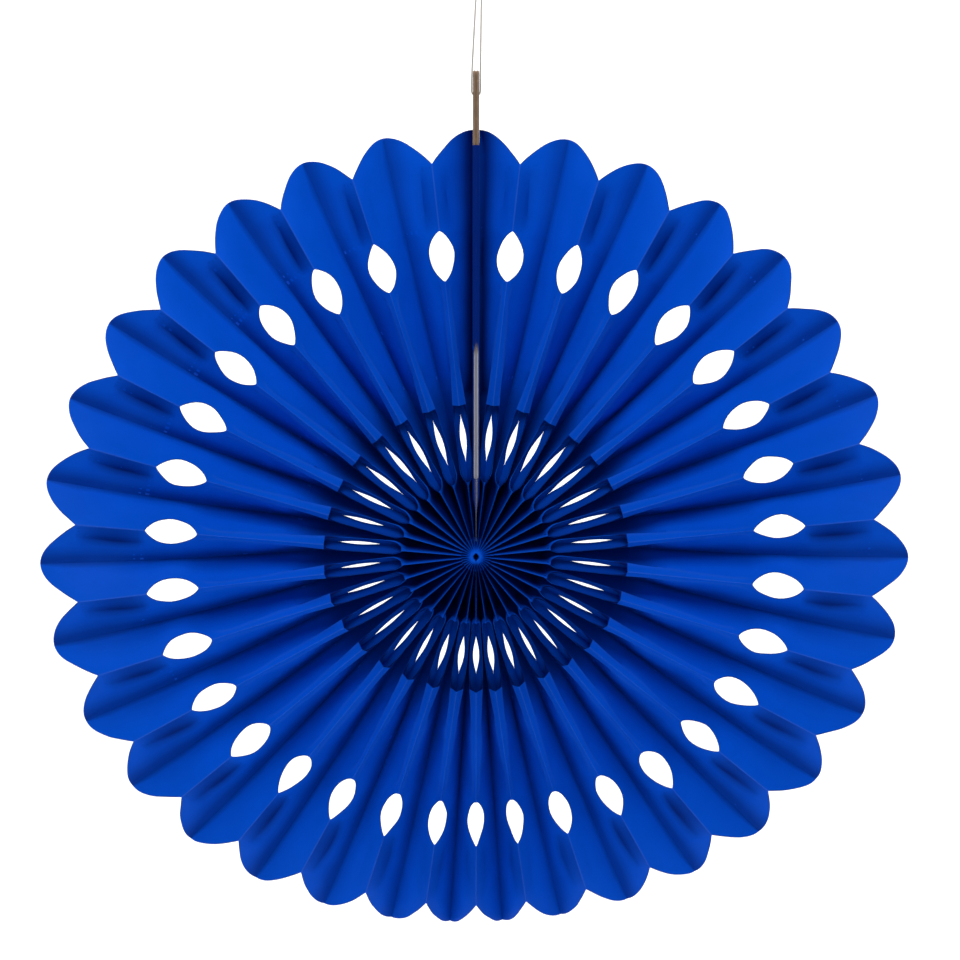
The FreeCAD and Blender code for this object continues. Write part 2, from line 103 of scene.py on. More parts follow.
# How wide the dark line along a cut edge is, as a share of the panel.
EDGE_LINE_SHARE = 0.03

# Where the cards and the string stand.
CARD_THICKNESS = 0.00145
CARD_INSET = 0.00075
CARD_BOTTOM = 0.0347
CARD_TOP = 0.227
CARD_SEAM_LEAN = math.radians(2.2)
CARD_LEAN = TOP_LEAN - CARD_SEAM_LEAN
PAPER_TO_CARD = 0.00005
SEAM_TOGETHER, SEAM_PARTED = 0.017, 0.0285
# How far the paper bends over the cards' edges where they are bare, as a share.
BARE_WRAP = 0.35
WRAP_START, WRAP_END = 0.098, 0.194
STRING_HOLE_DROP = 0.011
KNOT_ABOVE_CARD = 0.073
KNOT_SHIFT = 0.0026
KNOT_RADIUS = 0.0015
LOOP_RISE = 0.01475
LOOP_WIDTH = 0.0072
LOOP_SHOULDER = 0.0095

# Where the photograph was taken from: level with a point above the hub.
CAMERA_DISTANCE = 2.127
CAMERA_RIGHT_OF_HUB = 0.00185
CAMERA_ABOVE_HUB = 0.0356
VIEW_WIDTH = 0.444
SENSOR_WIDTH = 36.0

FRONT, REAR, EDGE, SEAM = "front", "rear", "edge", "seam"


class RosetteSizes(bpy.types.PropertyGroup):
    """The fan's sizes that a user may change."""

    panel_width: FloatProperty(
        name="Panel width", description="Width of one folded panel, front fold to rear fold",
        default=0.0215, unit="LENGTH")
    panel_reach: FloatProperty(
        name="Petal reach", description="From the hub to a petal's tip, along the rear fold",
        default=0.2024, unit="LENGTH")
    notch_reach: FloatProperty(
        name="Notch reach", description="From the hub to the notch between two petals",
        default=0.186, unit="LENGTH")
    sheet_thickness: FloatProperty(
        name="Paper thickness", description="Thickness of the paper",
        default=0.00012, unit="LENGTH")
    hub_reach: FloatProperty(
        name="Hub radius", description="Radius of the gathered and glued core",
        default=0.0068, unit="LENGTH")
    bottom_lean: FloatProperty(
        name="Bottom lean", description="How far the bottom of the fan sags back",
        default=math.radians(24.5), subtype="ANGLE")
    oval_start: FloatProperty(
        name="Oval start", description="From the hub to the ring of oval holes",
        default=0.1295, unit="LENGTH")
    oval_length: FloatProperty(
        name="Oval length", description="Length of an oval hole along the fold",
        default=0.024, unit="LENGTH")
    oval_depth: FloatProperty(
        name="Oval depth", description="Half the width of an oval hole on the flat sheet",
        default=0.0092, unit="LENGTH")
    slit_start: FloatProperty(
        name="Slit start", description="From the hub to the inner ring of slits",
        default=0.0347, unit="LENGTH")
    slit_length: FloatProperty(
        name="Slit length", description="Length of a slit along the fold",
        default=0.036, unit="LENGTH")
    slit_depth: FloatProperty(
        name="Slit depth", description="Half the width of a slit on the flat sheet",
        default=0.0046, unit="LENGTH")
    lip_spread: FloatProperty(
        name="Lip spread", description="How far a slit's lips stand from the fold's middle",
        default=0.0031, unit="LENGTH")
    gap_width: FloatProperty(
        name="Gap width",
        description="Width of the see-through gap behind a slit, at the top and bottom",
        default=0.0029, unit="LENGTH")
    gap_width_at_sides: FloatProperty(
        name="Gap width at sides",
        description="Width of the see-through gap behind a slit, at the sides",
        default=0.0013, unit="LENGTH")
    crest_spread: FloatProperty(
        name="Crest spread",
        description="Half the width of the narrow ridge along each front fold",
        default=0.0034, unit="LENGTH")
    string_diameter: FloatProperty(
        name="String diameter", description="Diameter of the twisted string",
        default=0.0009, unit="LENGTH")


class RosetteColours(bpy.types.PropertyGroup):
    """The fan's colours that a user may change."""

    paper: FloatVectorProperty(
        name="Paper", description="Colour of the dyed paper",
        default=(0.0004, 0.078, 0.600), subtype="COLOR", min=0, max=1)
    # Painted shade: the colour that stands in for shade far inside the folds, on their sides that
    # face down and behind the ridges.
    deep: FloatVectorProperty(
        name="Deep folds", description="Colour of the paper far inside the folds",
        default=(0.0001, 0.006, 0.100), subtype="COLOR", min=0, max=1)
    # The crease colour is partly rubbed wear and partly a painted highlight along the crests.
    crease: FloatVectorProperty(
        name="Crease", description="Colour where a fold has rubbed paler",
        default=(0.040, 0.120, 0.560), subtype="COLOR", min=0, max=1)
    cut_edge: FloatVectorProperty(
        name="Cut edge", description="Colour of the paper's die-cut edges",
        default=(0.0004, 0.009, 0.085), subtype="COLOR", min=0, max=1)
    seam_edge: FloatVectorProperty(
        name="Seam edge", description="Colour of the paper's glued raw edge in the seam",
        default=(0.20, 0.21, 0.26), subtype="COLOR", min=0, max=1)
    card: FloatVectorProperty(
        name="Card", description="Colour of the card strips",
        default=(0.205, 0.135, 0.088), subtype="COLOR", min=0, max=1)
    string: FloatVectorProperty(
        name="String", description="Colour of the string",
        default=(0.60, 0.575, 0.52), subtype="COLOR", min=0, max=1)
    backdrop: FloatVectorProperty(
        name="Backdrop", description="Colour of the wall and floor",
        default=(0.92, 0.92, 0.92), subtype="COLOR", min=0, max=1)


def sizes():
    return bpy.context.scene.rosette_sizes


def colours():
    return bpy.context.scene.rosette_colours


def card_seat():
    """The middle of the cards' lower end, measured from the hub."""
    s = sizes()
    card_width = s.panel_width - 2 * CARD_INSET
    back = s.panel_width / 2 - card_width / 2 - PAPER_TO_CARD + CARD_BOTTOM * math.sin(TOP_LEAN)
    return Vector((0, back, CARD_BOTTOM * math.cos(TOP_LEAN)))


def hub_place():
    """The middle of the hub, worked out from the cards and the string above it."""
    card_rise = CARD_TOP + 0.001 - CARD_BOTTOM
    return Vector((
        -KNOT_SHIFT,
        -card_rise * math.sin(CARD_LEAN) - card_seat().y,
        -(CARD_TOP + KNOT_ABOVE_CARD) - LOOP_RISE,
    ))


# --------------------------------------------------------------- materials
class Value:
    """A shader socket. Python's operators on it add Math nodes."""

    def __init__(self, graph, socket):
        self.graph = graph
        self.socket = socket

    def _math(self, operation, *values):
        return self.graph.node("ShaderNodeMath", {"operation": operation}, dict(enumerate(values)))

    def __add__(self, other):
        return self._math("ADD", self, other)

    def __radd__(self, other):
        return self._math("ADD", other, self)

    def __sub__(self, other):
        return self._math("SUBTRACT", self, other)

    def __rsub__(self, other):
        return self._math("SUBTRACT", other, self)

    def __mul__(self, other):
        return self._math("MULTIPLY", self, other)

    def __rmul__(self, other):
        return self._math("MULTIPLY", other, self)

    def clamped(self):
        return self.graph.node("ShaderNodeClamp", {}, {"Value": self})


class Graph:
    """One material's node tree, emptied and ready to be built."""

    def __init__(self, name):
        self.material = bpy.data.materials.new(name)
        self.material.use_nodes = True
        self.tree = self.material.node_tree
        self.tree.nodes.clear()

    def node(self, kind, settings=None, inputs=None, output=0):
        """Adds a node: its settings first, then its sockets' values or links."""
        made = self.tree.nodes.new(kind)
        for name, value in (settings or {}).items():
            setattr(made, name, value)
        for name, value in (inputs or {}).items():
            if isinstance(value, Value):
                self.tree.links.new(value.socket, made.inputs[name])
            else:
                made.inputs[name].default_value = value
        return Value(self, made.outputs[output]) if made.outputs else None

    def mix(self, share, first, second):
        """A colour between two, by a share from 0 to 1."""
        settings = {"data_type": "RGBA", "blend_type": "MIX"}
        return self.node("ShaderNodeMix", settings, {0: share, 6: first, 7: second}, output=2)

    def noise(self, scale, detail=2.0, roughness=0.5, stretch=None):
        """Noise in the object's own space, stretched along its axes if asked."""
        place = self.node("ShaderNodeTexCoord", output="Object")
        if stretch:
            place = self.node("ShaderNodeMapping", {}, {"Vector": place, "Scale": stretch})
        found = {"Vector": place, "Scale": scale, "Detail": detail, "Roughness": roughness}
        return self.node("ShaderNodeTexNoise", {}, found)

    def attribute(self, name):
        return self.node("ShaderNodeAttribute", {"attribute_name": name}, output="Fac")

    def bump(self, height, strength, distance, under=None):
        inputs = {"Height": height, "Strength": strength, "Distance": distance}
        if under:
            inputs["Normal"] = under
        return self.node("ShaderNodeBump", {}, inputs)

    def finish(self, shader):
        self.node("ShaderNodeOutputMaterial", {}, {"Surface": shader})
        return self.material


def rgba(colour, brightness=1.0):
    return (*(min(1.0, c * brightness) for c in colour[:3]), 1.0)


def paper_material():
    """Dyed blue paper: fine fibres, painted shade in the folds, folds paler partly from rubbing
    and partly from a painted highlight, and darker cut edges.
    """
    g = Graph("dyed_blue_paper")
    c = colours()
    fibres = g.noise(2600, 3, 0.6)
    cloud = g.noise(45, 3, 0.55)
    rumple = g.noise(150, 4, 0.6)
    base = g.mix(cloud * 0.7 + fibres * 0.3, rgba(c.paper, 0.86), rgba(c.paper, 1.12))
    # Painted shade inside the folds and on their sides that face down.
    base = g.mix(g.attribute("deep"), base, rgba(c.deep))
    # Paler folds: partly rubbed wear, partly a painted highlight.
    rubbed_and_highlit = (g.attribute("crease") * (0.25 + fibres * 0.6)).clamped()
    base = g.mix(rubbed_and_highlit, base, rgba(c.crease))
    base = g.mix((g.attribute("cut_edge") * 1.8).clamped(), base, rgba(c.cut_edge))
    glued = (g.attribute("seam_edge") * (0.5 + rumple * 0.8)).clamped()
    base = g.mix(glued, base, rgba(c.seam_edge))
    soft = g.bump(cloud, 0.10, 0.0012)
    rumpled = g.bump(rumple, 0.14, 0.0006, soft)
    grain = g.bump(fibres, 0.14, 0.00012, rumpled)
    shader = g.node("ShaderNodeBsdfPrincipled", {}, {
        "Base Color": base,
        "Roughness": 0.44 + fibres * 0.16,
        "Specular IOR Level": 0.03,
        "Normal": grain,
    })
    return g.finish(shader)


def card_material():
    """Brown card seen on edge: pressed fibres and pale flecks."""
    g = Graph("brown_card")
    c = colours()
    fibres = g.noise(900, 4, 0.65, stretch=(1.0, 1.0, 0.25))
    flecks = g.noise(420, 2, 0.5)
    layers = g.noise(2400, 2, 0.5, stretch=(1.0, 0.06, 0.06))
    base = g.mix(fibres, rgba(c.card, 0.72), rgba(c.card, 1.35))
    pale = ((flecks - 0.58) * 6).clamped()
    base = g.mix(pale * 0.4, base, rgba(c.card, 1.9))
    dark = ((0.42 - layers) * 5).clamped()
    base = g.mix(dark * 0.5, base, rgba(c.card, 0.5))
    # Between the hub and the wrapped paper the edges are greyed by the glue.
    place = g.node("ShaderNodeTexCoord", output="Object")
    height = g.node("ShaderNodeSeparateXYZ", {}, {"Vector": place}, output="Z")
    glued = ((hub_place().z + WRAP_START - height) * 200).clamped()
    right = g.node("ShaderNodeSeparateXYZ", {}, {"Vector": place}, output="X")
    from_join = (right - hub_place().x) * (right - hub_place().x) * 12000000
    glue = g.mix(from_join.clamped(), rgba(c.seam_edge, 0.7), rgba(c.seam_edge, 2.0))
    base = g.mix(glued * 0.85, base, glue)
    shader = g.node("ShaderNodeBsdfPrincipled", {}, {
        "Base Color": base,
        "Roughness": 0.82,
        "Specular IOR Level": 0.25,
        "Normal": g.bump(fibres * 0.6 + layers * 0.4, 0.5, 0.0002),
    })
    return g.finish(shader)


def string_material():
    """Off-white cotton with loose fibres along the twist."""
    g = Graph("cotton_string")
    c = colours()
    fibres = g.noise(5200, 3, 0.6)
    shade = g.noise(700, 2, 0.5)
    base = g.mix(fibres * 0.6 + shade * 0.4, rgba(c.string, 0.7), rgba(c.string, 1.15))
    shader = g.node("ShaderNodeBsdfPrincipled", {}, {
        "Base Color": base,
        "Roughness": 0.9,
        "Specular IOR Level": 0.2,
        "Normal": g.bump(fibres, 0.6, 0.0001),
    })
    return g.finish(shader)


def backdrop_material():
    """A white surface that shows plain white to the camera, with the fan's shadow."""
    g = Graph("white_backdrop")
    c = colours()
    shader = g.node("ShaderNodeBsdfPrincipled", {}, {
        "Base Color": rgba(c.backdrop), "Roughness": 0.9, "Specular IOR Level": 0.1})
    return g.finish(shader)


# ------------------------------------------------------------------- folds
def front_fold_angles():
    """The front folds' angles, clockwise from straight up as the viewer sees them."""
    middle = (FOLD_COUNT - 1) / 2
    pitches = []
    for gap in range(FOLD_COUNT - 1):
        away = (gap + 0.5 - middle) / BOTTOM_SPREAD
        pitches.append(1 - BOTTOM_CROWDING * math.exp(-away ** 2))
    seam_gap = SEAM_GAP_SHARE * pitches[0]
    unit = 2 * math.pi / (sum(pitches) + seam_gap)
    angles = [unit * seam_gap / 2]
    for pitch in pitches:
        angles.append(angles[-1] + unit * pitch)
    return [a + SIDE_DROOP * math.sin(a) - SIDE_DRIFT * math.sin(a) ** 2 for a in angles]


class Pleats:
    """Where every point of the folded sheet lies, by its reach along the fold."""

    def __init__(self):
        s = self.sizes = sizes()
        self.width = s.panel_width
        self.hub = np.array(hub_place())
        self.front_angles = front_fold_angles()
        pairs = zip(self.front_angles, self.front_angles[1:])
        self.rear_angles = [(a + b) / 2 for a, b in pairs]
        self.front_angles[0] -= SEAM_PULL
        self.front_angles[-1] += SEAM_PULL
        self.slit_share = s.slit_depth / self.width
        self.pinch_share = PINCH_DEPTH / self.width
        self.folds = [(EDGE, 1), (SEAM, 1)]
        for number in range(FOLD_COUNT):
            self.folds.append((FRONT, number))
            if number < FOLD_COUNT - 1:
                self.folds.append((REAR, number))
        self.folds += [(SEAM, -1), (EDGE, -1)]

    def depth(self, reach, half_pitch):
        across = reach * math.sin(half_pitch)
        return math.sqrt(max(self.width ** 2 - across ** 2, LEAST_PLEAT_DEPTH ** 2))

    def core_share(self, reach):
        return math.exp(-(reach / CORE_TILT_REACH) ** 2)

    def place(self, reach, angle, back):
        sin, cos = math.sin(angle), math.cos(angle)
        sag = self.sizes.bottom_lean * max(0.0, -cos) ** BOTTOM_LEAN_GROWTH
        lean = sag + TOP_LEAN * max(0.0, cos) ** TOP_LEAN_GROWTH + SIDE_TURN * sin
        radial = np.array((sin * math.cos(lean), math.sin(lean), cos * math.cos(lean)))
        turn = lean * LEAN_TURN_SHARE * (1 - self.core_share(reach))
        inward = np.array((-sin * math.sin(turn), math.cos(turn), -cos * math.sin(turn)))
        inward[2] += CORE_TILT * self.core_share(reach)
        front_centre = self.hub - np.array((0, self.width / 2, 0))
        return front_centre + radial * reach + inward * (back + self.width / 2)

    def front(self, number, reach):
        """A front fold's angle and depth."""
        angle, rear = self.front_angles[number], self.rear_angles
        left = rear[number - 1] if number > 0 else 2 * angle - rear[0]
        right = rear[number] if number < FOLD_COUNT - 1 else 2 * angle - rear[-1]
        return angle, -self.depth(reach, (right - left) / 2) / 2

    def rear(self, number, reach):
        """A rear fold's angle and depth."""
        half = (self.front_angles[number + 1] - self.front_angles[number]) / 2
        return self.rear_angles[number], self.depth(reach, half) / 2

    def seam_offset(self, reach):
        """How far the seam's paper stands to the side: together, then round the cards."""
        half = self.sizes.sheet_thickness / 2
        together, beside = half + PINCH_CLEARANCE, CARD_THICKNESS + PAPER_TO_CARD + half
        return together + (beside - together) * smooth(SEAM_TOGETHER, SEAM_PARTED, reach)

    def seam_point(self, side, reach, share):
        """A point of the seam's paper, which wraps round the cards' front edges."""
        rear = self.width / 2 - (reach - CARD_BOTTOM) * math.tan(CARD_SEAM_LEAN)
        flap = 2 * CARD_INSET
        wrapped = smooth(WRAP_START - 0.004, WRAP_START + 0.003, reach)
        wrapped *= 1 - smooth(WRAP_END, WRAP_END + 0.002, reach)
        near_hub = 1 - smooth(CARD_BOTTOM + 0.0008, CARD_BOTTOM + 0.003, reach)
        wrapped = max(wrapped, near_hub, BARE_WRAP * (reach < WRAP_START))
        front = self.width * (1 - share)
        bent = wrapped * max(0.0, 1 - share * self.width / flap)
        if reach > CARD_BOTTOM:
            front -= bent * (flap - 0.0004)
        point = self.place(reach, 0.0, rear - front)
        offset, closed = self.seam_offset(reach), self.sizes.sheet_thickness / 2 + PINCH_CLEARANCE
        point[0] = self.hub[0] + side * (offset + (closed - offset) * bent)
        return point

    def fold_point(self, fold, reach):
        kind, number = fold
        if kind == FRONT:
            return self.place(reach, *self.front(number, reach))
        if kind == REAR:
            return self.place(reach, *self.rear(number, reach))
        return self.seam_point(number, reach, 0 if kind == EDGE else 1)


def smooth(low, high, value):
    """0 below low, 1 above high, and a smooth rise between them."""
    t = min(1.0, max(0.0, (value - low) / (high - low)))
    return t * t * (3 - 2 * t)


class Ring:
    """How each front fold's crest, lips and pinched gap run from the hub outwards."""

    def __init__(self):
        s = sizes()
        self.start = s.slit_start
        self.end = s.slit_start + s.slit_length
        self.fade_end = self.end + PINCH_FADE
        self.oval_start, self.oval_end = s.oval_start, s.oval_start + s.oval_length
        self.notch = s.notch_reach
        self.spread, self.crest = s.lip_spread, s.crest_spread
        self.gap_width, self.gap_at_sides = s.gap_width, s.gap_width_at_sides
        self.closed = PINCH_CLEARANCE + s.sheet_thickness / 2

    def pinched(self, reach):
        """1 where the fold is pinched shut behind its crest, 0 where it is plain."""
        opened = smooth(self.end + PINCH_HOLD, self.fade_end, reach)
        return smooth(*PINCH_CLOSES, reach) * (1 - opened)

    def crested(self, reach):
        """1 where the crest is a narrow ridge, 0 where it is plain."""
        return smooth(self.start - 0.0025, self.start + 0.0005, reach)

    def lips(self, reach):
        """Half the width between the two sides of the crest."""
        if reach <= self.end:
            rise = smooth(self.start - 0.0015, self.start + 0.004, reach)
            return 0.0016 + (self.spread - 0.0016) * rise
        t = min(1.0, (reach - self.end) / (self.oval_start - self.end))
        before_ovals = self.spread + (0.0011 - self.spread) * t ** 0.8
        return before_ovals if reach < self.oval_start else self.crest

    def ridge(self, reach, down):
        """How much of the ridge there is: none at an oval or a notch."""
        if reach <= self.oval_start:
            return 1 - smooth(self.oval_start - 0.009, self.oval_start, reach)
        t = min(1.0, max(0.0, (reach - self.oval_end) / (self.notch - self.oval_end)))
        return math.sin(math.pi * t ** 0.8) ** 0.75 * down

    def gap(self, reach, angle):
        """Half the width of the gap at the pinch."""
        upwards = max(0.0, math.cos(angle))
        start = GAP_START + GAP_START_RISE * upwards
        share = (reach - start) / (GAP_LENGTH + GAP_LENGTH_RISE * upwards)
        if share <= 0 or share >= 1:
            return self.closed
        wide = upwards ** 1.5 or math.cos(angle) ** 10
        widest = self.gap_at_sides + (self.gap_width - self.gap_at_sides) * wide
        return self.closed + widest / 2 * math.sin(math.pi * share)


def facing_down(angle, side):
    """1 for a crest's side that faces the floor, 0 for one that faces up."""
    return min(1.0, max(0.0, 0.5 + 0.9 * side * math.sin(angle)))


def cosine_steps(low, high, count):
    """Reaches from low to high, closer together at both ends."""
    return [low + (high - low) * (1 - math.cos(math.pi * n / count)) / 2
            for n in range(count + 1)]


def even_steps(low, high, count):
    return [low + (high - low) * n / count for n in range(count + 1)]


def sheet_rows():
    """The rows of the sheet: each one's reach and the share cut away from the crest."""
    s = sizes()
    width = s.panel_width
    slit_end = s.slit_start + s.slit_length
    oval_end = s.oval_start + s.oval_length
    rows = [(reach, 0.0) for reach in even_steps(s.hub_reach, 0.026, 4)]
    rows += [(reach, 0.0) for reach in even_steps(0.026, s.slit_start, 4)[1:]]
    slit_cut = 0.94 * s.slit_depth / width
    for reach in cosine_steps(s.slit_start, slit_end, 20)[1:-1]:
        t = (reach - s.slit_start) / s.slit_length
        across = (1 - abs(2 * t - 1) ** SLIT_BLUNTNESS) ** (1 / SLIT_BLUNTNESS)
        rows.append((reach, slit_cut * across))
    rows += [(reach, 0.0) for reach in even_steps(slit_end, s.oval_start, 12)]
    for reach in cosine_steps(s.oval_start, oval_end, 16)[1:-1]:
        t = (reach - s.oval_start) / s.oval_length
        rows.append((reach, s.oval_depth / width * math.sin(math.pi * t) ** OVAL_ROUNDNESS))
    rows += [(reach, 0.0) for reach in even_steps(oval_end, s.notch_reach, 9)]
    petal = s.panel_reach - s.notch_reach
    for n in range(1, 13):
        share = n / 12
        rows.append((s.notch_reach + petal * math.sin(math.pi / 2 * share), share))
    return rows


def column_shares(cut, slit_share, pinch_share):
    """Shares of the panel's width for one row's points, from the cut to the rear fold."""
    crease = slit_share if cut < slit_share else cut + (1 - cut) * 0.1
    pinch = pinch_share if cut < slit_share else crease + (1 - crease) * 0.25
    rim = cut + min((1 - cut) * EDGE_LINE_SHARE, (crease - cut) / 2)
    shares = [cut, rim, (rim + crease) / 2, crease, (crease + pinch) / 2, pinch]
    return shares + [pinch + (1 - pinch) * n / 4 for n in range(1, 5)]


def seam_shares():
    """The same number of shares, close together where the paper wraps the cards."""
    flap = 2 * CARD_INSET / sizes().panel_width
    return [0.0, flap * 0.3, flap * 0.65, flap, flap * 1.35, 0.25, 0.45, 0.65, 0.85, 1.0]


def rumple(position, amount, size):
    """A smooth irregular offset, the same at each run."""
    return amount * noise.noise(Vector([float(c) / size for c in position]))


def along(first, second, low, high, value):
    """The pair of numbers at this value, between one pair at low and one at high."""
    t = (value - low) / (high - low)
    return tuple(a + (b - a) * t for a, b in zip(first, second))


def blended(pinched_pair, plain_pair, pinched):
    return along(plain_pair, pinched_pair, 0, 1, pinched)


def wall_point(pleats, ring, wall, reach, share):
    """A point inside the panel between two folds."""
    front, rear, side = wall
    if front[0] == EDGE:
        return pleats.seam_point(front[1], reach, share)
    start = pleats.fold_point(front, reach)
    end = pleats.fold_point(rear, reach)
    point = start + (end - start) * share
    angle, back = pleats.front(front[1], reach)
    tangent = np.array((math.cos(angle), 0, -math.sin(angle)))
    tilted = -2 * back * CORE_TILT * pleats.core_share(reach) * tangent[2]
    room = abs((end - start) @ tangent - tilted)
    crease, pinch = pleats.slit_share, pleats.pinch_share
    plain = room * share
    crest, pinched = ring.crested(reach), ring.pinched(reach)
    lips = min(ring.lips(reach), room * LIP_ROOM) * crest + room * crease * (1 - crest)
    gap = min(ring.gap(reach, angle), room * LIP_ROOM) * pinched + room * pinch * (1 - pinched)
    full_depth = -2 * back
    crest_depth = full_depth * crease
    down = facing_down(angle, side)
    ridge = ring.ridge(reach, down)
    past_ovals = reach > ring.oval_start
    if reach > ring.end:
        crest_depth += (lips * RIDGE_STEEPNESS[past_ovals] - crest_depth) * (1 - pinched)
    sideways, depth = plain, full_depth * share
    if ridge > 0:
        step = (crease + pinch) / 2
        drop = (1 - pinched) * (1 if past_ovals else 0.45 + 0.55 * down)
        drop_side, drop_back = RIDGE_DROP[past_ovals]
        outer_step = (lips + drop_side * drop, crest_depth + drop_back * drop)
        plain_pinch = along(outer_step, (room, full_depth), step, 1, pinch)
        at_pinch = ((gap, full_depth * pinch), plain_pinch)
        at_step = (along((lips, crest_depth), at_pinch[0], crease, pinch, step), outer_step)
        corners = (
            (0, (0, 0)), (crease, (lips, crest_depth)), (step, blended(*at_step, pinched)),
            (pinch, blended(*at_pinch, pinched)), (1, (room, full_depth)),
        )
        for (low, first), (high, second) in zip(corners, corners[1:]):
            if low <= share <= high:
                ridged = along(first, second, low, high, share)
        sideways, depth = along((plain, full_depth * share), ridged, 0, 1, ridge)
    sideways = side * sideways + tilted * share
    moved = point + tangent * (sideways - (point - start) @ tangent)
    moved[1] += depth + 2 * back * share
    bow = math.sin(math.pi * min(1.0, share)) * smooth(ring.end, ring.fade_end, reach)
    moved += tangent * side * bow * (rumple(moved, 0.0011, 0.021) + rumple(moved, 0.0005, 0.008))
    return moved


def painted_fold_shade(ring, reach, share, down):
    """How dark the painted shade is this far inside a fold, on a side that faces down or up."""
    at_hub = min(1.0, share * 7) * 0.96
    in_ring = 0.10 + 0.5 * smooth(0.2, 0.8, share)
    if share < 0.45 and reach < ring.end:
        in_ring += (1.0 - in_ring) * smooth(*SLIT_END_SHADE, reach)
    outside = 0.62 * (down if share < 1 else 0.8) * smooth(0.45, 1, share)
    past_hub = smooth(*HUB_SHADE_ENDS, reach)
    past_ring = smooth(*RING_SHADE_ENDS, reach)
    inner = at_hub * (1 - past_hub) + in_ring * past_hub
    return inner * (1 - past_ring) + outside * past_ring


# How dark the soft shadow behind a ridge is, at each column across the panel.
RIDGE_SHADOW = (0, 0.5, 0.5, 0.6, 0.85, 0.45, 0.1, 0, 0, 0)


def build_sheet():
    """The sheet's middle surface: points, faces, each face's wall and each point's marks."""
    pleats, ring = Pleats(), Ring()
    rows = sheet_rows()
    points, faces, walls, kinds, fold_index = [], [], [], {}, {}
    # Each mark has one list for the front skin and one for the rear skin.
    marks = {name: ([], []) for name in ("crease", "cut_edge", "deep", "seam_edge")}

    def add(position, crease, cut_edge, deep, seam_edge):
        points.append(position)
        pairs = (crease, (cut_edge, cut_edge), deep, (seam_edge, seam_edge))
        for name, pair in zip(marks, pairs):
            for values, value in zip(marks[name], pair):
                values.append(value)
        return len(points) - 1

    for wall_number, (left, right) in enumerate(zip(pleats.folds, pleats.folds[1:])):
        left_is_front = left[0] in (FRONT, EDGE)
        front, rear = (left, right) if left_is_front else (right, left)
        side = 1 if left_is_front else -1
        at_seam = front[0] == EDGE
        grid = []
        for row_number, (reach, cut) in enumerate(rows):
            line = []
            shares = (seam_shares() if at_seam
                      else column_shares(cut, pleats.slit_share, pleats.pinch_share))
            if at_seam and reach > WRAP_END:
                shares = [cut + share * (1 - cut) for share in shares]
            last = len(shares) - 1
            for column, share in enumerate(shares):
                at_front = column == 0 and shares[0] == 0
                rim = column == 0 and shares[0] > 0 or row_number == len(rows) - 1
                down = 0.5 if at_seam else facing_down(pleats.front_angles[front[1]], side)
                # Painted shade: darker inside the folds, on sides that face down, behind the
                # ridges, beside the seam and on the paper over the cards.
                ahead = painted_fold_shade(ring, reach, share, down)
                if at_seam:
                    ahead = SEAM_SHADE if column < 4 else ahead
                elif reach > ring.end:
                    beyond_ovals = reach > ring.oval_end
                    shadow = RIDGE_SHADOW[column] * ring.ridge(reach, down)
                    ahead += shadow * down * beyond_ovals
                    ahead += SEAM_SHADE * share ** 2 * (rear[0] == SEAM)
                deep = (min(1.0, ahead), painted_fold_shade(ring, reach, 1 - share, 0.5))
                if at_front or column == last or shares[0] == 1:
                    key = (front if at_front else rear, row_number)
                    if key not in fold_index:
                        # Pale lines on the crests: partly rubbed wear, partly a painted highlight.
                        worn_and_highlit = 0.35 + 0.4 * smooth(*WORN_AND_HIGHLIT_REACHES, reach)
                        pale = (worn_and_highlit * (key[0][0] == FRONT), float(key[0][0] == REAR))
                        raw = raw_edge(front[1], reach) if key[0][0] == EDGE else 0.0
                        place = pleats.fold_point(key[0], reach)
                        fold_index[key] = add(place, pale, float(rim), deep, raw)
                        kinds[fold_index[key]] = key[0][0]
                    line.append(fold_index[key])
                else:
                    # A faint pale line beside each slit, partly a painted highlight.
                    beside_slit = ring.start + 0.003 < reach < ring.oval_start
                    pale = (0.3 * (column == 3 and beside_slit and not at_seam), 0.0)
                    raw = 0.6 * raw_edge(front[1], reach) if at_seam and column == 1 else 0.0
                    place = wall_point(pleats, ring, (front, rear, side), reach, share)
                    line.append(add(place, pale, float(rim), deep, raw))
            grid.append(line)
        for low, high in zip(grid, grid[1:]):
            for n in range(len(low) - 1):
                corners = [low[n], low[n + 1], high[n + 1], high[n]]
                if not left_is_front:
                    corners.reverse()
                found = list(dict.fromkeys(corners))
                if len(found) > 2:
                    faces.append(found)
                    walls.append(wall_number)
    return np.array(points), faces, walls, kinds, marks


def raw_edge(side, reach):
    """How pale the paper's raw edge is in the seam, where it isn't wrapped round a card."""
    if reach > WRAP_START - 0.001:
        return 0.0
    return 1.0 if side > 0 else 0.35


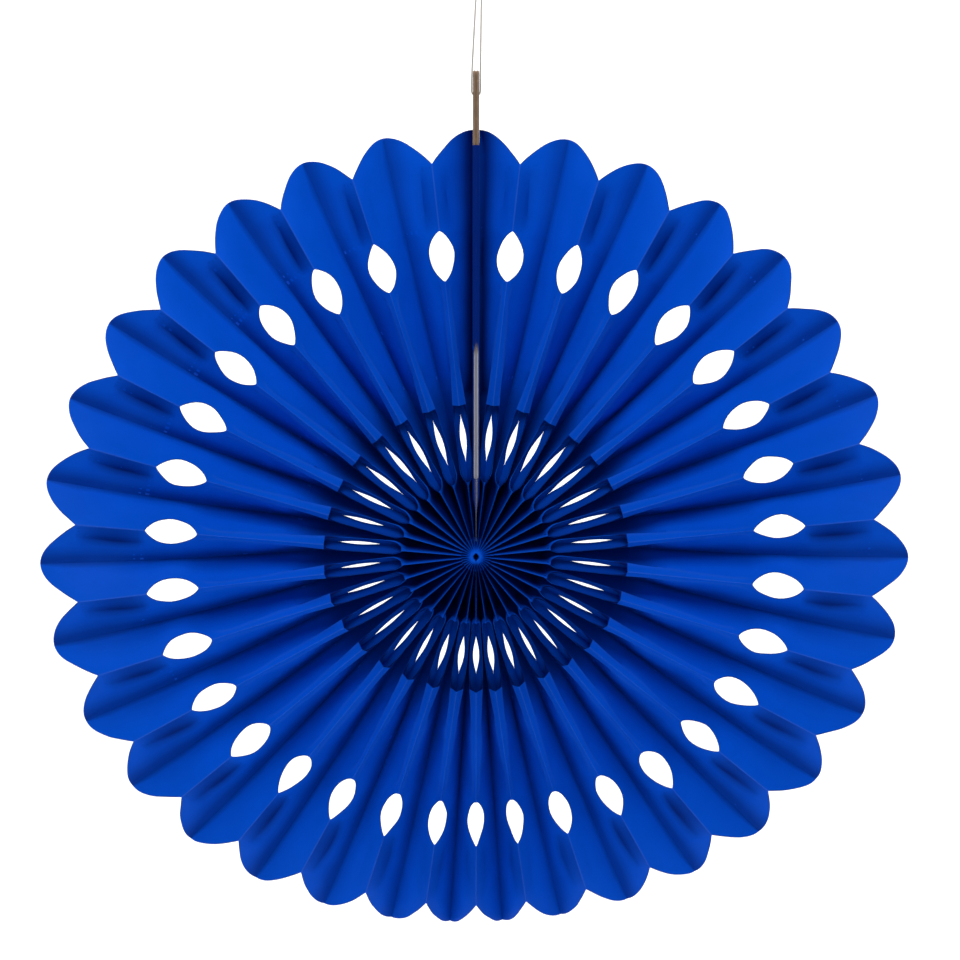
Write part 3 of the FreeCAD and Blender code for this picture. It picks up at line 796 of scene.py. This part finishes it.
def give_thickness(points, faces, walls, kinds, half):
    """Two skins a paper's thickness apart, joined along every cut edge."""
    # Each point belongs to one wall or, on a fold, to two neighbouring ones.
    by_wall = np.zeros((2, *points.shape))
    for corners, wall in zip(faces, walls):
        a, b, c = points[corners[0]], points[corners[1]], points[corners[-1]]
        normal = np.cross(b - a, c - a)
        if len(corners) == 4:
            normal += np.cross(points[corners[2]] - b, points[corners[3]] - b)
        normal /= max(np.linalg.norm(normal), 1e-15)
        for corner in corners:
            by_wall[wall % 2, corner] += normal
    lengths = np.linalg.norm(by_wall, axis=2)
    by_wall /= np.maximum(lengths, 1e-12)[:, :, None]
    normals = by_wall.sum(axis=0)
    normals /= np.maximum(np.linalg.norm(normals, axis=1), 1e-12)[:, None]
    wall_counts = np.maximum((lengths > 0).sum(axis=0), 1)
    squareness = np.einsum("wij,ij->i", by_wall, normals) / wall_counts
    outside = np.minimum(1 / np.maximum(squareness, 0.05), OUTSIDE_GROWTH)
    inside = 1 / np.maximum(squareness, 0.01)
    at_rear = np.array([kinds.get(n) in (REAR, SEAM) for n in range(len(points))])
    at_front = np.array([kinds.get(n) == FRONT for n in range(len(points))])
    to_front = half * np.where(at_rear, inside, outside)
    to_rear = half * np.where(at_front, inside, outside)
    count = len(points)
    skins = np.concatenate([
        points + normals * to_front[:, None], points - normals * to_rear[:, None]])
    solid = [list(corners) for corners in faces]
    solid += [[n + count for n in reversed(corners)] for corners in faces]
    used = set()
    for corners in faces:
        used.update(zip(corners, corners[1:] + corners[:1]))
    for a, b in used:
        if (b, a) not in used:
            solid.append([b, a, a + count, b + count])
    return skins, solid


def hub_core():
    """The gathered inner ends, glued into one round core with a small hole."""
    pleats = Pleats()
    s = sizes()
    radii = [HUB_HOLE_RADIUS + (s.hub_reach * 1.04 - HUB_HOLE_RADIUS) * n / 9 for n in range(10)]
    turns = 4 * FOLD_COUNT
    crests = pleats.front_angles
    points, faces, deep = [], [], []
    front_face = pleats.hub[1] - pleats.width / 2

    def groove(angle):
        """0 on a crest and 1 halfway between two."""
        for low, high in zip(crests, crests[1:] + [crests[0] + 2 * math.pi]):
            if low <= angle <= high:
                return math.sin(math.pi * (angle - low) / (high - low)) ** 1.5
        return groove(angle + 2 * math.pi) if angle < crests[0] else 0.0

    for n, radius in enumerate(radii):
        for k in range(turns):
            angle = 2 * math.pi * k / turns
            depth = groove(angle) * CORE_GROOVE * smooth(0.0022, s.hub_reach, radius)
            reach = radius
            if n == 0:
                reach += HOLE_TIP * max(0.0, math.cos(angle)) ** 9
                reach += HOLE_TAIL * max(0.0, -math.cos(angle)) ** 60
            rise = (depth + 0.00001) * CORE_TILT
            points.append((
                pleats.hub[0] + reach * math.sin(angle), front_face - 0.0001 + depth,
                pleats.hub[2] + reach * math.cos(angle) + rise))
            # Painted shade: dark at the hole's rim and in the grooves between the crests.
            deep.append(1.0 if n == 0 else min(1.0, depth / 0.002))
    back = pleats.width
    for base in (0, (len(radii) - 1) * turns):
        for k in range(turns):
            x, y, z = points[base + k]
            points.append((x, front_face + back, z + (front_face + back - y) * CORE_TILT))
            # The core's back gets full painted shade.
            deep.append(1.0)
    inner_back, outer_back = len(radii) * turns, (len(radii) + 1) * turns
    for k in range(turns):
        following = (k + 1) % turns
        for n in range(len(radii) - 1):
            a, b = n * turns + k, n * turns + following
            faces.append([a, a + turns, b + turns, b])
        outer = (len(radii) - 1) * turns
        faces.append([outer + k, outer_back + k, outer_back + following, outer + following])
        faces.append([
            outer_back + k, inner_back + k, inner_back + following, outer_back + following])
        faces.append([inner_back + k, k, following, inner_back + following])
    return points, faces, deep


def new_mesh_object(name, points, faces, material, smooth_angle=None):
    mesh = bpy.data.meshes.new(name)
    mesh.from_pydata([tuple(p) for p in points], [], faces)
    mesh.materials.append(material)
    if smooth_angle is not None:
        mesh.polygons.foreach_set("use_smooth", [True] * len(mesh.polygons))
        mesh.set_sharp_from_angle(angle=smooth_angle)
    mesh.update()
    made = bpy.data.objects.new(name, mesh)
    bpy.context.scene.collection.objects.link(made)
    return made


def mark_points(made, name, values):
    layer = made.data.attributes.new(name, "FLOAT", "POINT")
    layer.data.foreach_set("value", np.array(values, np.float32))


# ------------------------------------------------------------------ string
def string_points():
    """The string's route: down one side of the cards, through them and up again."""
    s = sizes()
    hub, seat = hub_place(), card_seat()
    beside = CARD_THICKNESS + 0.0001 + s.string_diameter / 2
    hole = CARD_TOP - STRING_HOLE_DROP

    def beside_card(side, height):
        up = height - CARD_BOTTOM
        return Vector((hub.x + side * beside, hub.y + seat.y + up * math.sin(CARD_LEAN),
                       hub.z + seat.z + up * math.cos(CARD_LEAN)))

    knot = Vector((0, 0, hub.z + CARD_TOP + KNOT_ABOVE_CARD))
    gap, foot = s.string_diameter * 0.6, KNOT_RADIUS * 0.7
    in_hole = hole + 0.0005
    string = [
        knot + Vector((-gap, 0, -foot)),
        beside_card(-1, CARD_TOP + 0.001),
        beside_card(-1, in_hole + 0.004),
        beside_card(-1, in_hole),
        beside_card(1, in_hole),
        beside_card(1, in_hole + 0.004),
        beside_card(1, CARD_TOP + 0.001),
        knot + Vector((gap, 0, -foot)),
    ]
    top = LOOP_RISE + s.string_diameter / 2
    loop = [
        knot + Vector((-gap, 0, foot)),
        knot + Vector((-LOOP_WIDTH / 2, 0, LOOP_SHOULDER)),
        knot + Vector((-0.36 * LOOP_WIDTH, 0, top)),
        knot + Vector((0.36 * LOOP_WIDTH, 0, top)),
        knot + Vector((LOOP_WIDTH / 2, 0, LOOP_SHOULDER)),
        knot + Vector((gap, 0, foot)),
    ]
    return string, loop, knot


def spline_line(route):
    """Points along the NURBS spline through a route, read from the curve itself."""
    curve = bpy.data.curves.new("route", "CURVE")
    curve.dimensions = "3D"
    curve.resolution_u = 16
    spline = curve.splines.new("NURBS")
    spline.points.add(len(route) - 1)
    for point, position in zip(spline.points, route):
        point.co = (*position, 1.0)
    spline.order_u = 3
    spline.use_endpoint_u = True
    holder = bpy.data.objects.new("route", curve)
    line = bpy.data.meshes.new_from_object(holder)
    found = [vertex.co.copy() for vertex in line.vertices]
    bpy.data.objects.remove(holder)
    bpy.data.meshes.remove(line)
    bpy.data.curves.remove(curve)
    return found


def spread_evenly(line, step):
    """The same line with its points evenly spaced."""
    lengths = [0.0]
    for a, b in zip(line, line[1:]):
        lengths.append(lengths[-1] + (b - a).length)
    count = max(2, round(lengths[-1] / step))
    found, part = [], 0
    for n in range(count + 1):
        wanted = lengths[-1] * n / count
        while part < len(line) - 2 and lengths[part + 1] < wanted:
            part += 1
        share = (wanted - lengths[part]) / max(lengths[part + 1] - lengths[part], 1e-12)
        found.append(line[part].lerp(line[part + 1], share))
    return found


def sideways_frames(line):
    """A pair of side directions at each point that turn no more than they must."""
    along = [(b - a).normalized() for a, b in zip(line, line[1:])]
    along.append(along[-1])
    side = along[0].cross(Vector((0, 1, 0)))
    if side.length < 0.1:
        side = along[0].cross(Vector((1, 0, 0)))
    frames = []
    for direction in along:
        side = (side - direction * side.dot(direction)).normalized()
        frames.append((side, direction.cross(side)))
    return frames


def twisted_string(name, line, diameter, plies, turn_length, material):
    """Plies twisted round a line, each a round tube closed at both ends."""
    line = spread_evenly(line, turn_length / 12)
    frames = sideways_frames(line)
    ply_radius = diameter / 2 * 0.52
    middle = diameter / 2 - ply_radius
    points, faces = [], []
    sides = 8
    step = (line[1] - line[0]).length
    for ply in range(plies):
        base = len(points)
        for n, (centre, (side, other)) in enumerate(zip(line, frames)):
            turn = 2 * math.pi * (n * step / turn_length + ply / plies)
            out = side * math.cos(turn) + other * math.sin(turn)
            round_it = side * -math.sin(turn) + other * math.cos(turn)
            for k in range(sides):
                a = 2 * math.pi * k / sides
                outwards = out * (middle + ply_radius * math.cos(a))
                points.append(centre + (outwards + round_it * ply_radius * math.sin(a)))
        for n in range(len(line) - 1):
            for k in range(sides):
                a, b = base + n * sides + k, base + n * sides + (k + 1) % sides
                faces.append([a, b, b + sides, a + sides])
        faces.append([base + k for k in reversed(range(sides))])
        last = base + (len(line) - 1) * sides
        faces.append([last + k for k in range(sides)])
    made = new_mesh_object(name, points, faces, material, math.radians(50))
    return made, line


# --------------------------------------------------------------- operators
class ROSETTE_OT_camera(bpy.types.Operator):
    """Puts the camera where the photograph was taken from"""

    bl_idname = "rosette.camera"
    bl_label = "Camera"

    def execute(self, context):
        hub = hub_place()
        data = bpy.data.cameras.new("camera")
        data.sensor_width = SENSOR_WIDTH
        data.lens = SENSOR_WIDTH * CAMERA_DISTANCE / VIEW_WIDTH
        data.clip_end = 20
        camera = bpy.data.objects.new("camera", data)
        context.scene.collection.objects.link(camera)
        front = hub.y - sizes().panel_width / 2
        camera.location = (
            hub.x + CAMERA_RIGHT_OF_HUB, front - CAMERA_DISTANCE, hub.z + CAMERA_ABOVE_HUB)
        camera.rotation_euler = (math.pi / 2, 0, 0)
        context.scene.camera = camera
        return {"FINISHED"}


class ROSETTE_OT_string(bpy.types.Operator):
    """Adds the twisted string, its knot and the loop that the fan hangs by"""

    bl_idname = "rosette.string"
    bl_label = "String, knot and loop"

    def execute(self, context):
        s = sizes()
        material = string_material()
        string_route, loop_route, knot_centre = string_points()
        string, string_line = twisted_string(
            "twisted_string", spline_line(string_route), s.string_diameter, 3, 0.0030, material)
        loop, loop_line = twisted_string(
            "twisted_loop", spline_line(loop_route), s.string_diameter, 3, 0.0030, material)
        wraps = []
        for n in range(73):
            t = n / 72
            a = 2 * math.pi * 3 * t
            lift = (t - 0.5) * 0.0022 + 0.0003 * math.sin(a * 0.5)
            turn = Vector((0.00105 * math.cos(a), 0.00085 * math.sin(a), lift))
            wraps.append(knot_centre + turn)
        knot, _ = twisted_string(
            "tied_knot", wraps, s.string_diameter * 0.8, 3, 0.0028, material)
        stand_ins = ((string, "hanging_string"), (loop, "hanging_loop"), (knot, "string_knot"))
        for piece, node in stand_ins:
            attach(piece, "root")
            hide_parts(node)
        length = sum((b - a).length for a, b in zip(string_line, string_line[1:]))
        loop_length = sum((b - a).length for a, b in zip(loop_line, loop_line[1:]))
        return {"FINISHED"}


class ROSETTE_OT_paper(bpy.types.Operator):
    """Adds the pleated and die-cut sheet of paper"""

    bl_idname = "rosette.paper"
    bl_label = "Pleated paper"

    def execute(self, context):
        points, faces, walls, kinds, marks = build_sheet()
        half = sizes().sheet_thickness / 2
        skins, solid = give_thickness(points, faces, walls, kinds, half)
        core_points, core_faces, core_painted_shade = hub_core()
        solid += [[n + len(skins) for n in corners] for corners in core_faces]
        everything = [tuple(p) for p in skins] + core_points
        paper = new_mesh_object(
            "pleated_sheet", everything, solid, paper_material(), math.radians(24))
        for name, (ahead, behind) in marks.items():
            on_core = core_painted_shade if name == "deep" else [0.0] * len(core_points)
            mark_points(paper, name, ahead + behind + on_core)
        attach(paper, "root")
        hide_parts("pleated_paper")
        return {"FINISHED"}


class ROSETTE_OT_cards(bpy.types.Operator):
    """Gives the two card strips their finish"""

    bl_idname = "rosette.cards"
    bl_label = "Card strips"

    def execute(self, context):
        material = card_material()
        for name in ("card_left", "card_right"):
            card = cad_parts[name]
            card.data.materials.clear()
            card.data.materials.append(material)
        return {"FINISHED"}


class ROSETTE_OT_stage(bpy.types.Operator):
    """Adds the pale floor and wall, and the soft lights"""

    bl_idname = "rosette.stage"
    bl_label = "Floor, wall and lights"

    def execute(self, context):
        hub = hub_place()
        reach = 6.0
        floor_height = hub.z - 0.60
        wall = hub.y + 3.0
        curve = 0.6
        profile = [(-reach, floor_height), (wall - curve, floor_height)]
        for n in range(1, 12):
            a = math.pi / 2 * n / 12
            rise = curve * (1 - math.cos(a))
            profile.append((wall - curve + curve * math.sin(a), floor_height + rise))
        profile += [(wall, floor_height + curve), (wall, floor_height + reach)]
        points = [(side, y, z) for y, z in profile for side in (-reach, reach)]
        faces = [[2 * n, 2 * n + 1, 2 * n + 3, 2 * n + 2] for n in range(len(profile) - 1)]
        backdrop = new_mesh_object("backdrop", points, faces, backdrop_material(), math.radians(40))

        world = bpy.data.worlds.new("room")
        world.use_nodes = True
        background = next(n for n in world.node_tree.nodes if n.type == "BACKGROUND")
        background.inputs["Color"].default_value = (1, 1, 1, 1)
        background.inputs["Strength"].default_value = 0.12
        context.scene.world = world
        lamps = (
            ("key", (-0.10, -1.60, 1.65), 1.3, 36),
            ("fill", (0.2, -2.6, 0.2), 1.6, 6.5),
            ("wall_light", (0.0, 1.1, 2.2), 2.6, 115),
        )
        for name, offset, width, power in lamps:
            data = bpy.data.lights.new(name, "AREA")
            data.shape = "SQUARE"
            data.size = width
            data.energy = power
            lamp = bpy.data.objects.new(name, data)
            lamp.location = hub + Vector(offset)
            target = hub if name != "wall_light" else hub + Vector((0, 3.0, 0.1))
            lamp.rotation_euler = (target - lamp.location).to_track_quat("-Z", "Y").to_euler()
            context.scene.collection.objects.link(lamp)
        context.scene.view_settings.view_transform = "Standard"
        return {"FINISHED"}


class ROSETTE_PT_panel(bpy.types.Panel):
    """The fan's pieces in the sidebar"""

    bl_label = "Paper fan"
    bl_idname = "ROSETTE_PT_panel"
    bl_space_type = "VIEW_3D"
    bl_region_type = "UI"
    bl_category = "Paper fan"

    def draw(self, context):
        for operator in OPERATORS:
            self.layout.operator(operator.bl_idname)
        for group in (context.scene.rosette_sizes, context.scene.rosette_colours):
            for name in group.bl_rna.properties.keys():
                if name not in ("rna_type", "name"):
                    self.layout.prop(group, name)


OPERATORS = (
    ROSETTE_OT_camera,
    ROSETTE_OT_string,
    ROSETTE_OT_paper,
    ROSETTE_OT_cards,
    ROSETTE_OT_stage,
)
CLASSES = (RosetteSizes, RosetteColours, *OPERATORS, ROSETTE_PT_panel)


def register():
    for made in CLASSES:
        bpy.utils.register_class(made)
    bpy.types.Scene.rosette_sizes = PointerProperty(type=RosetteSizes)
    bpy.types.Scene.rosette_colours = PointerProperty(type=RosetteColours)


def unregister():
    del bpy.types.Scene.rosette_colours
    del bpy.types.Scene.rosette_sizes
    for made in reversed(CLASSES):
        bpy.utils.unregister_class(made)


def main():
    register()
    for operator in OPERATORS:
        group, name = operator.bl_idname.split(".")
        getattr(getattr(bpy.ops, group), name)()


if __name__ == "__main__":
    main()
